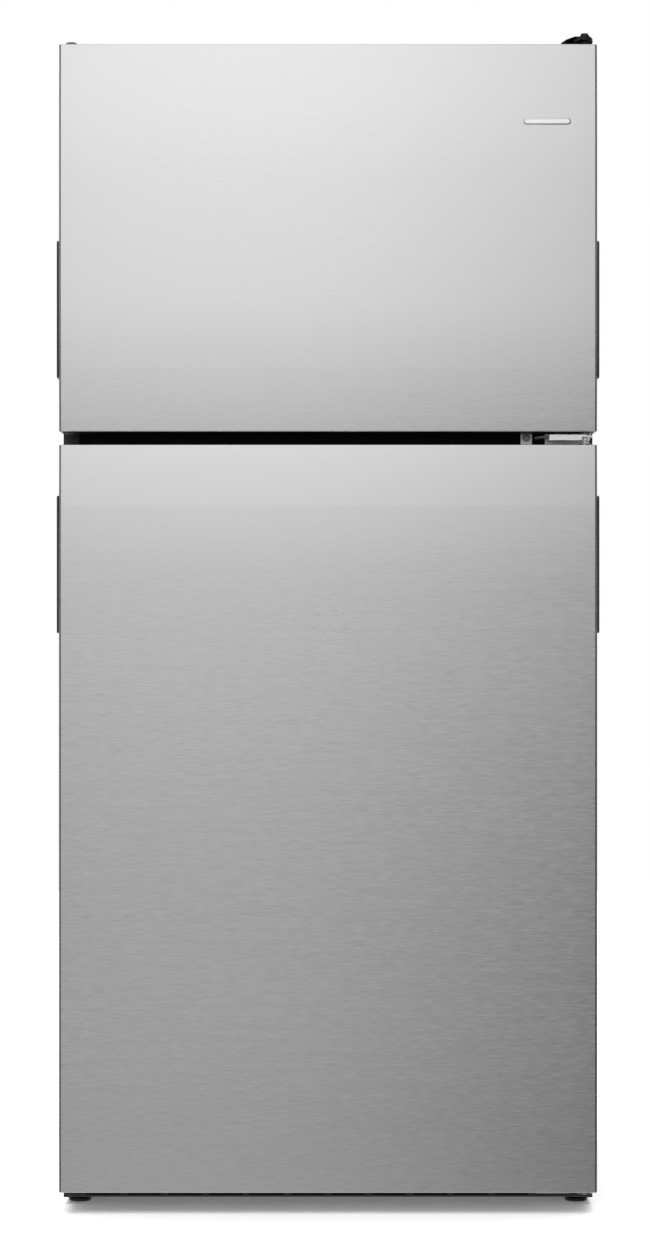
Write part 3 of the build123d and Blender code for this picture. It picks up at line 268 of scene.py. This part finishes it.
zinc = plated("zinc_plate", (0.42, 0.42, 0.41), (0.60, 0.60, 0.585), 0.26)
# A lighter, half diffuse copy of the zinc plate. This is painted light, so the centre hinge reads lit
# in the shaded gap between the doors. The rear cover screws share it.
painted_lit_zinc = plated("zinc_plate_painted_lit", (0.80, 0.80, 0.80), (0.93, 0.93, 0.92), 0.3, 0.5)
phosphate = plated("black_phosphate", (0.05, 0.05, 0.052), (0.09, 0.09, 0.094), 0.45)
# The base frame takes the darkened rail paint, which is painted shade under the cabinet.
dress(rail_paint_with_painted_shade, "base_frame")
dress(phosphate, "levelling_leg_left", "levelling_leg_right")
black_plastic = moulded("grained_black_plastic", (0.011, 0.011, 0.012), (0.018, 0.018, 0.019),
                        0.4, 0.00012)
dress(black_plastic, "base_grille")
wheel_plastic = moulded("worn_wheel_plastic", (0.36, 0.36, 0.35), (0.52, 0.52, 0.5), 0.45, 0.0003)
dress(wheel_plastic, "rear_wheel_left", "rear_wheel_right")
dark_grey = moulded("grained_grey_plastic", (0.05, 0.05, 0.053), (0.075, 0.075, 0.08),
                    0.42, 0.00008)
RIB = 0.8 * MM
RIB_SUNK = 0.75 * MM
RIB_PLACES = (-0.25, 0, 0.25)      # shares of the wheel's width
QUARTER = math.pi / 2

for side in ("left", "right"):
    lo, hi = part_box(f"rear_wheel_{side}")
    middle = (lo + hi) / 2
    tread = bmesh.new()
    turn = Matrix.Translation(middle) @ Matrix.Rotation(QUARTER, 4, "Y")
    radius, width = (hi.z - lo.z) / 2, hi.x - lo.x
    for share in RIB_PLACES:
        spot = turn @ Matrix.Translation((0, 0, share * width))
        out = spot @ Matrix.Translation((radius - RIB_SUNK, 0, 0)) @ Matrix.Rotation(QUARTER, 4, "X")
        profile = bmesh.ops.create_circle(tread, segments=8, radius=RIB, matrix=out)
        rim = list({e for v in profile["verts"] for e in v.link_edges})
        bmesh.ops.spin(tread, geom=rim, cent=middle, axis=(1, 0, 0), angle=math.tau, steps=40,
                       use_merge=True)
    bmesh.ops.remove_doubles(tread, verts=tread.verts, dist=0.01 * MM)
    bmesh.ops.recalc_face_normals(tread, faces=tread.faces)
    placed(tread, f"wheel_tread_{side}", dark_grey, f"rear_wheel_{side}")


# ---------------------------------------------------------------- compressor space
# The sealed compressor is drawn steel in black enamel, with copper pipes brazed on. A fan in a
# moulded shroud blows across the condenser, a steel tube dipped in black paint. A slotted cover
# of pressed board is screwed over the back.
enamel = moulded("black_enamel", (0.006, 0.006, 0.007), (0.012, 0.012, 0.013),
                 0.22, 0.0002, coat=0.3)
dress(enamel, "compressor", "condenser_coil")
dress(black_plastic, "condenser_fan_mount", "condenser_fan", "drain_pan")
board, place = finish("pressed_board")
fibre = place.noise(420, 4, (1, 1, 0.25))
pressed = fibre.tint((0.02, 0.019, 0.018), (0.05, 0.047, 0.044))
surface(board, pressed, fibre * 0.1 + 0.72, fibre, 0.0003)
dress(board, "rear_cover")

copper, place = finish("brazed_copper", metallic=1.0)
tarnish = place.noise(30, 4)
surface(copper, tarnish.tint((0.42, 0.16, 0.08), (0.78, 0.36, 0.2)), tarnish * 0.2 + 0.25)


def pipe(name, points, radius):
    """A rigid tube through its corner points, each bent on a former."""
    curve = bpy.data.curves.new(name, "CURVE")
    curve.dimensions = "3D"
    curve.bevel_depth = radius
    curve.bevel_resolution = 3
    curve.resolution_u = 10
    spline = curve.splines.new("NURBS")
    spline.points.add(len(points) - 1)
    for point, spot in zip(spline.points, points):
        point.co = (*spot, 1)
    spline.order_u = 3
    spline.use_endpoint_u = True
    tube = bpy.data.objects.new(name, curve)
    bpy.context.scene.collection.objects.link(tube)
    curve.materials.append(copper)
    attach(tube, "cabinet")


shell_lo, shell_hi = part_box("compressor")
coil_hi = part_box("condenser_coil")[1]
stub = shell_lo.y + 2 * MM
middle = (shell_lo.x + shell_hi.x) / 2
suction = middle - 20 * MM
DISCHARGE_HEIGHT = 0.100
SUCTION_HEIGHT = 0.145
pipe("discharge_pipe", [
    (middle, stub, DISCHARGE_HEIGHT), (middle, 0.155, DISCHARGE_HEIGHT), (middle - 0.05, 0.152, 0.104),
    (0.04, 0.152, 0.135), (-0.036, 0.16, 0.215), (-0.075, 0.17, 0.212), (-0.075, 0.172, 0.08),
    (coil_hi.x - 4 * MM, 0.172, 0.040)], 2.6 * MM)
pipe("suction_pipe", [
    (suction, stub, SUCTION_HEIGHT), (suction, 0.156, SUCTION_HEIGHT), (suction, 0.15, 0.18),
    (suction, 0.15, 0.23), (middle + 0.03, 0.16, 0.238), (0.29, 0.3, 0.237)], 4 * MM)

lo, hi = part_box("rear_cover")
flange = [(along, hi.y - 0.5 * MM, height) for along in (lo.x + 12 * MM, 0, hi.x - 12 * MM)
          for height in (lo.z + 12 * MM, hi.z - 10 * MM)]
screws_at("rear_cover_screws", flange, 3.4 * MM, (0, 1, 0), painted_lit_zinc)


# ---------------------------------------------------------------- freezer inside
# The aluminium coil and its fan sit behind a white moulded panel. The shelf is steel wire,
# spot welded and dipped in white plastic.
alloy, place = finish("mill_aluminium", metallic=1.0)
rolled = place.noise(200, 2, (1, 1, 0.1))
surface(alloy, rolled.tint((0.62, 0.63, 0.64), (0.78, 0.79, 0.8)), rolled * 0.2 + 0.3)
dress(alloy, "evaporator")
dress(white_plastic, "evaporator_cover", "evaporator_fan_motor", "evaporator_fan")
wire_coat = moulded("white_wire_coating", (0.74, 0.74, 0.73), (0.82, 0.82, 0.81), 0.26, 0.0002)
dress(wire_coat, "freezer_shelf")
lo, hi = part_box("evaporator_cover")
panel_face = lo.y + 6.9 * MM
corners = [(along, panel_face, height) for along in (lo.x + 35 * MM, hi.x - 35 * MM)
           for height in (lo.z + 60 * MM, hi.z - 40 * MM)]
screws_at("evaporator_cover_screws", corners, 4 * MM, (0, -1, 0), white_plastic)


# ---------------------------------------------------------------- shelves and drawers
# Toughened glass drops into white frames. The drawers, the meat pan and the door bins are
# injection moulded in clear plastic, slightly wavy and with a cool tint.
glass, place = finish("shelf_glass")
smear = place.noise(7, 3)
surface(glass, smear.tint((0.60, 0.76, 0.70), (0.72, 0.85, 0.80)), smear * 0.05 + 0.02)
glass.node_tree.nodes["Principled BSDF"].inputs["Alpha"].default_value = 0.42
dress(glass, "shelf_glass")
dress(white_plastic, "shelf_frames")

clear, place = finish("clear_moulded_plastic", ior=1.49)
flow = place.noise(12, 3, (1, 1, 2.5))
surface(clear, flow.tint((0.70, 0.76, 0.79), (0.82, 0.87, 0.89)), flow * 0.06 + 0.05, flow, 0.0004)
clear.node_tree.nodes["Principled BSDF"].inputs["Alpha"].default_value = 0.3
dress(clear, "crisper_left", "crisper_right", "meat_pan",
      "freezer_door_bins", "fridge_door_bins", "dairy_lid")
dress(dark_grey, "humidity_slider_left", "humidity_slider_right")


# ---------------------------------------------------------------- controls and lamp
# The ceiling housing holds both dials and the lamp. Each scale is seven raised marks on its face
# that grow longer, and each knob has a grey pointer line.
dress(white_plastic, "control_housing", "air_tower", "freezer_control_knob", "fridge_control_knob")
frosted, place = finish("frosted_lamp_glass")
warm = place.noise(60, 2).tint((0.86, 0.85, 0.8), (0.92, 0.91, 0.87))
surface(frosted, warm, place.noise(400) * 0.1 + 0.35)
dress(frosted, "light_bulb")
housing_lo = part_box("control_housing")[0]
DIAL_FACE = 12 * MM
DIAL_MARKS = 7
DIAL_START = -120
DIAL_STEP = 40
DIAL_RADIUS = 23 * MM
for name in ("freezer", "fridge"):
    knob = f"{name}_control_knob"
    lo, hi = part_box(knob)
    middle = (lo + hi) / 2
    pointer = bmesh.new()
    at = Matrix.Translation((middle.x, lo.y - 0.1 * MM, hi.z - 7 * MM))
    line = Matrix.Diagonal((1.6 * MM, 0.8 * MM, 8 * MM, 1))
    bmesh.ops.create_cube(pointer, size=1, matrix=at @ line)
    bmesh.ops.bevel(pointer, geom=pointer.edges[:], offset=0.25 * MM, affect="EDGES", segments=2,
                    profile=0.5, material=-1)
    placed(pointer, f"{name}_pointer", dark_grey, knob)
    scale = bmesh.new()
    hub = Vector((middle.x, housing_lo.y + DIAL_FACE - 0.2 * MM, middle.z))
    for step in range(DIAL_MARKS):
        angle = math.radians(DIAL_START + DIAL_STEP * step)
        out = Vector((math.sin(angle), 0, math.cos(angle)))
        at = Matrix.Translation(hub + out * DIAL_RADIUS) @ Matrix.Rotation(-angle, 4, "Y")
        mark = Matrix.Diagonal((1 * MM, 0.9 * MM, (2 + step * 0.4) * MM, 1))
        bmesh.ops.create_cube(scale, size=1, matrix=at @ mark)
    placed(scale, f"{name}_scale", dark_grey, "cabinet")


# ---------------------------------------------------------------- door skins
# Each skin is one sheet of stainless steel, brushed along its width, crowned a little, folded
# round both sides and hemmed over the end caps. It is cut away for the two finger grips.
def brushed_steel(name):
    material, place = finish(name, metallic=1.0)
    streak = place.noise(1.0, 3, (55, 55, 560))
    band = place.noise(1.0, 2, (5, 5, 130))
    grain = streak.over(0.22, 0.78) * 0.7 + band * 0.3
    shader = material.node_tree.nodes["Principled BSDF"]
    shader.inputs["Anisotropic"].default_value = 0.55
    shader.inputs["Anisotropic Rotation"].default_value = 0.25
    colour = grain.tint((0.595, 0.595, 0.60), (0.715, 0.715, 0.72))
    return surface(material, colour, grain * 0.09 + 0.21, streak, 0.000004)


stainless = brushed_steel("brushed_stainless")
CROWN = 3 * MM        # how far the face falls back at the top and the bottom
BOW = 180 * MM        # the height over which it does
FOLD = 3.5 * MM       # outer radius of the vertical edges
RETURN_FOLD = 1.2 * MM
RETURN = 11 * MM      # the lip folded in behind
HEM = 1.5 * MM
HEM_RETURN = 5 * MM
LIP = 0.35 * MM       # how far the hem stands past the CAD skin
SHEET = 0.8 * MM
GRIP_FRAME = 12.5 * MM
GRIP_FRONT = 9 * MM
GRIP_BACK = 6 * MM
TOUCH = 0.001 * MM


def door_outline(box_lo, box_hi, inset, cut):
    """Half of the folded section, from the middle of the face round to the rear return."""
    half = (box_hi.x - box_lo.x) / 2 - inset
    front = box_lo.y + inset
    fold = max(FOLD - inset, 0.4 * MM)
    points = [(half * step / 10, front, True) for step in range(10)]
    for step in range(7):
        angle = step * math.pi / 12
        across, back = half - fold + fold * math.sin(angle), front + fold - fold * math.cos(angle)
        points.append((across, back, True))
    points += [(half, y, False) for y in cut]
    for step in range(4):
        angle = step * math.pi / 6
        across = half - RETURN_FOLD + RETURN_FOLD * math.cos(angle)
        points.append((across, box_hi.y - RETURN_FOLD + RETURN_FOLD * math.sin(angle), False))
    points.append((half - RETURN, box_hi.y, False))
    return points


def door_levels(low, high, stops):
    """Heights of the rows of the skin with how far each is drawn in at a hem."""
    turns = [step * math.pi / 8 for step in range(5)]
    hem = [(0, HEM_RETURN)] + [(HEM - HEM * math.cos(a), HEM - HEM * math.sin(a)) for a in turns]
    rows = [(low + up, inset) for up, inset in hem]
    inner = sorted([low + step * (high - low) / 24 for step in range(1, 24)] + list(stops))
    rows += [(z, 0.0) for z in inner]
    rows += [(high - up, inset) for up, inset in reversed(hem)]
    return rows


def door_skin(door):
    """The folded, crowned and hemmed sheet of one door."""
    lo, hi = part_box(f"{door}_door_skin")
    grip_lo, grip_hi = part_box(f"{door}_door_grips")
    cut_y = (grip_lo.y + GRIP_FRONT, grip_hi.y - GRIP_BACK)
    cut_z = (grip_lo.z + GRIP_FRAME, grip_hi.z - GRIP_FRAME)
    low, high = lo.z - LIP, hi.z + LIP
    mesh = bmesh.new()
    row = None
    for z, inset in door_levels(low, high, cut_z):
        points = door_outline(lo, hi, inset, cut_y)
        if row is None:
            row = [mesh.verts.new((x, y, z)) for x, y, _ in points]
            chain = [mesh.edges.new(pair) for pair in zip(row, row[1:])]
        else:
            grown = bmesh.ops.extrude_edge_only(mesh, edges=chain)["geom"]
            new = {v for v in grown if isinstance(v, bmesh.types.BMVert)}
            below = {v: e.other_vert(v) for v in new for e in v.link_edges
                     if e.other_vert(v) not in new}
            row = [next(v for v in new if below[v] is old) for old in row]
            chain = [mesh.edges.get(pair) for pair in zip(row, row[1:])]
        fall = CROWN * max(0, 1 - min(z - low, high - z) / BOW) ** 2
        for vert, (x, y, crowned) in zip(row, points):
            vert.co = (x, y + (fall if crowned else 0), z)
    gone = [f for f in mesh.faces
            if all(abs(v.co.x - hi.x) < 0.01 * MM
                   and cut_z[0] - TOUCH < v.co.z < cut_z[1] + TOUCH
                   and cut_y[0] - TOUCH < v.co.y < cut_y[1] + TOUCH for v in f.verts)]
    bmesh.ops.delete(mesh, geom=gone, context="FACES")
    bmesh.ops.mirror(mesh, geom=mesh.verts[:] + mesh.edges[:] + mesh.faces[:], axis="X",
                     merge_dist=0.01 * MM)
    bmesh.ops.recalc_face_normals(mesh, faces=mesh.faces)
    front = min(mesh.faces, key=lambda f: f.calc_center_median().y)
    if front.normal.y > 0:
        bmesh.ops.reverse_faces(mesh, faces=mesh.faces)
    skin = placed(mesh, f"{door}_skin", stainless, f"{door}_door")
    wall = skin.modifiers.new("sheet", "SOLIDIFY")
    wall.thickness = SHEET
    wall.offset = -1
    even_normals(skin)
    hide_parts(f"{door}_door_skin")


for door in ("freezer", "fridge"):
    door_skin(door)


# ---------------------------------------------------------------- grips, end caps and hinges
# The grips and end caps are moulded plastic and clip into the folded skin. The hinges are
# pressed steel, screwed to the cabinet, the top one under a plastic cover. None of them has a
# knife edge, so these are the CAD pieces with their corners eased.
SHARP = math.radians(30)
FLAT = math.radians(2)


def softened(node, width, material, body):
    """A copy of a CAD node with its sharp edges rounded over."""
    mesh = bmesh.new()
    mesh.from_mesh(nodes[node].data)
    bmesh.ops.remove_doubles(mesh, verts=mesh.verts, dist=0.005 * MM)
    bmesh.ops.dissolve_limit(mesh, angle_limit=FLAT, verts=mesh.verts, edges=mesh.edges)
    sharp = [e for e in mesh.edges if e.is_manifold and e.calc_face_angle(0) > SHARP]
    bmesh.ops.bevel(mesh, geom=sharp, offset=width, offset_type="OFFSET", affect="EDGES",
                    segments=2, profile=0.5, material=-1, clamp_overlap=True)
    piece = placed(mesh, f"{node}_eased", material, body, smooth=80)
    even_normals(piece)
    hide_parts(node)


grip_black = moulded("grip_plastic", (0.016, 0.016, 0.017), (0.028, 0.028, 0.03), 0.38, 0.0001)
for door in ("freezer", "fridge"):
    softened(f"{door}_door_grips", 0.5 * MM, grip_black, f"{door}_door")
    softened(f"{door}_door_end_caps", 0.5 * MM, dark_grey, f"{door}_door")
    dress(dark_grey, f"{door}_door_plugs")
softened("top_hinge_cover", 0.8 * MM, black_plastic, "cabinet")
# The centre hinge takes the lightened zinc, and its brightness is painted light.
softened("centre_hinge", 0.3 * MM, painted_lit_zinc, "cabinet")
softened("top_hinge", 0.3 * MM, phosphate, "cabinet")
softened("bottom_hinge", 0.3 * MM, zinc, "cabinet")
dress(zinc, "hinge_fasteners")


# ---------------------------------------------------------------- badge
# A plain plated bar, stuck on the freezer door near its upper right corner. It has rounded ends
# and a shallow field inside a raised rim.
chrome, place = finish("bright_plate", metallic=1.0)
haze = place.noise(90, 3)
surface(chrome, haze.tint((0.60, 0.60, 0.62), (0.70, 0.70, 0.72)), haze * 0.06 + 0.08)
lo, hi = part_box("badge")
CORNER = 4.2 * MM
FACE_EDGE = 0.9 * MM
RIM = 0.6 * MM
RIM_WALL = 0.4 * MM
FIELD_DEPTH = 0.5 * MM
bar = bmesh.new()
block = Matrix.Translation((lo + hi) / 2) @ Matrix.Diagonal((*(hi - lo), 1))
bmesh.ops.create_cube(bar, size=1, matrix=block)
ends = [e for e in bar.edges if abs(e.verts[0].co.y - e.verts[1].co.y) > 0.1 * MM]
bmesh.ops.bevel(bar, geom=ends, offset=CORNER, affect="EDGES", segments=8, profile=0.5, material=-1)
face = min(bar.faces, key=lambda f: f.calc_center_median().y)
bmesh.ops.bevel(bar, geom=face.edges[:], offset=FACE_EDGE, affect="EDGES", segments=4,
                profile=0.5, material=-1)
face = min(bar.faces, key=lambda f: f.calc_center_median().y - f.calc_area())
bmesh.ops.inset_region(bar, faces=[face], thickness=RIM)
bmesh.ops.inset_region(bar, faces=[face], thickness=RIM_WALL, depth=-FIELD_DEPTH)
badge_bar = placed(bar, "badge_bar", chrome, "freezer_door")
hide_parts("badge")


# ---------------------------------------------------------------- door seals
# Extruded flexible vinyl, mitred and welded at the corners: a foot that snaps into the liner,
# two soft folds, and a flat pad that hides the magnet.
vinyl = moulded("seal_vinyl", (0.045, 0.045, 0.048), (0.07, 0.07, 0.074), 0.5, 0.0002)
# The section in millimetres: in from the seal's outer edge, and back from the door.
SEAL = [(0, 0.2), (0.6, 3.2), (2.6, 4.0), (0.8, 5.0), (0.3, 7.8), (0.2, 10.6), (1.2, 11.4),
        (6, 11.4), (9.5, 11.2), (10.2, 9.2), (9.0, 7.6), (12.4, 5.2), (13.6, 2.2), (13.8, 0.2)]

for door in ("freezer", "fridge"):
    lo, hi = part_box(f"{door}_door_gasket")
    mesh = bmesh.new()
    corners = [(lo.x, lo.z, 1, 1), (hi.x, lo.z, -1, 1), (hi.x, hi.z, -1, -1), (lo.x, hi.z, 1, -1)]
    rows = []
    for x, z, in_x, in_z in corners:
        row = [mesh.verts.new((x + in_x * u * MM, lo.y + v * MM - 0.1 * MM, z + in_z * u * MM))
               for u, v in SEAL]
        for pair in zip(row, row[1:]):
            mesh.edges.new(pair)
        mesh.edges.new((row[-1], row[0]))
        rows.append(row)
    for index in range(4):
        ring = [mesh.edges.get(pair) for row in (rows[index], rows[index - 1])
                for pair in zip(row, row[1:] + row[:1])]
        bmesh.ops.bridge_loops(mesh, edges=ring)
    bmesh.ops.recalc_face_normals(mesh, faces=mesh.faces)
    seal = placed(mesh, f"{door}_seal", vinyl, f"{door}_door", smooth=50)
    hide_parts(f"{door}_door_gasket")


# ---------------------------------------------------------------- stage, light and camera
# A white matt floor under one broad light from above, with softer ones from the upper left, the
# front and the back. The camera stands level in front of the doors.
floor = bmesh.new()
ground_size = Matrix.Translation((0, 1.4, 0)) @ Matrix.Diagonal((3.4, 3.0, 1, 1))
bmesh.ops.create_grid(floor, x_segments=1, y_segments=1, size=1, matrix=ground_size)
data = bpy.data.meshes.new("floor")
floor.to_mesh(data)
floor.free()
ground = bpy.data.objects.new("floor", data)
bpy.context.scene.collection.objects.link(ground)
pale, place = finish("pale_floor")
glow = pale.node_tree.nodes["Principled BSDF"].inputs
glow["Emission Color"].default_value = (1, 1, 1, 1)
glow["Emission Strength"].default_value = 0.12
surface(pale, place.noise(2).tint((0.9, 0.9, 0.9), (0.93, 0.93, 0.93)), place.noise(5) * 0.05 + 0.7)
data.materials.append(pale)


def panel_light(name, spot, target, size, power):
    """A square light of some width in metres and power in watts that looks at a target."""
    light = bpy.data.lights.new(name, "AREA")
    light.size = size
    light.energy = power
    lamp = bpy.data.objects.new(name, light)
    aim = (Vector(target) - Vector(spot)).to_track_quat("-Z", "Y")
    lamp.matrix_world = Matrix.Translation(spot) @ aim.to_matrix().to_4x4()
    bpy.context.scene.collection.objects.link(lamp)


panel_light("key", (-2.6, -3.2, 4.4), (-0.1, -0.3, 1.0), 2.6, 110)
panel_light("top", (0, 0.8, 4.2), (0, 0.6, 0), 5.5, 270)
panel_light("front_fill", (-0.3, -4.4, 1.5), (0, -0.3, 1.0), 1.6, 60)
panel_light("back_fill", (0, 4.5, 2.6), (0, 1.2, 0.6), 3.0, 110)

# The room that the steel reflects: bright above the camera's level, dim below it and dimmest on
# the right, darker towards both sides, and pale again at the floor. Behind, it grows brighter
# from the floor up.
world = bpy.data.worlds.new("studio")
bpy.context.scene.world = world
world.use_nodes = True
sky = Value(world.node_tree, world.node_tree.nodes.new("ShaderNodeTexCoord").outputs["Generated"])
across, depth, up = (sky.node("ShaderNodeSeparateXYZ", {}, {0: sky}, axis) for axis in range(3))
left = across.over(0.14, -0.06, "SMOOTHSTEP")
high = up.over(-0.02, 0.14, "SMOOTHSTEP") * (1 - up.over(0.2, 0.9) * 0.55)
low = up.over(-0.25, -0.7, "SMOOTHSTEP")
aside_left = across.over(-0.01, -0.45)
aside_right = across.over(0.01, 0.42)
front = left * 0.36 + 0.15 + high * (1.3 - left * 0.04)
front = front * (1 - aside_left * 0.85) * (1 - aside_right * 0.93) + low * 0.4
rear = up.over(-0.5, 0.6) * 0.7 + 0.3
behind = depth.over(-0.1, 0.3)
shade = front * (1 - behind) + rear * behind
seen = up.node("ShaderNodeLightPath", {}, {}, "Is Camera Ray")
strength = shade * (1 - seen) + seen
backdrop = world.node_tree.nodes["Background"]
world.node_tree.links.new(strength.socket, backdrop.inputs["Strength"])
backdrop.inputs["Color"].default_value = (1, 1, 1, 1)
for thing in ("floor", "key", "top", "front_fill"):
    bpy.data.objects[thing].visible_glossy = False

DOOR_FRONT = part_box("fridge_door_skin")[0].y
AWAY = 4.0
SEEN_HEIGHT = 1.7397      # how much height the view takes in at the doors
AIM_X, AIM_Z = -0.0043, 0.8315
camera = bpy.data.cameras.new("camera")
camera.sensor_fit = "VERTICAL"
camera.sensor_height = 24
camera.lens = camera.sensor_height * AWAY / SEEN_HEIGHT
viewer = bpy.data.objects.new("camera", camera)
stand = Matrix.Translation((AIM_X, DOOR_FRONT - AWAY, AIM_Z))
viewer.matrix_world = stand @ Matrix.Rotation(QUARTER, 4, "X")
bpy.context.scene.collection.objects.link(viewer)
bpy.context.scene.camera = viewer
bpy.context.scene.view_settings.view_transform = "Standard"
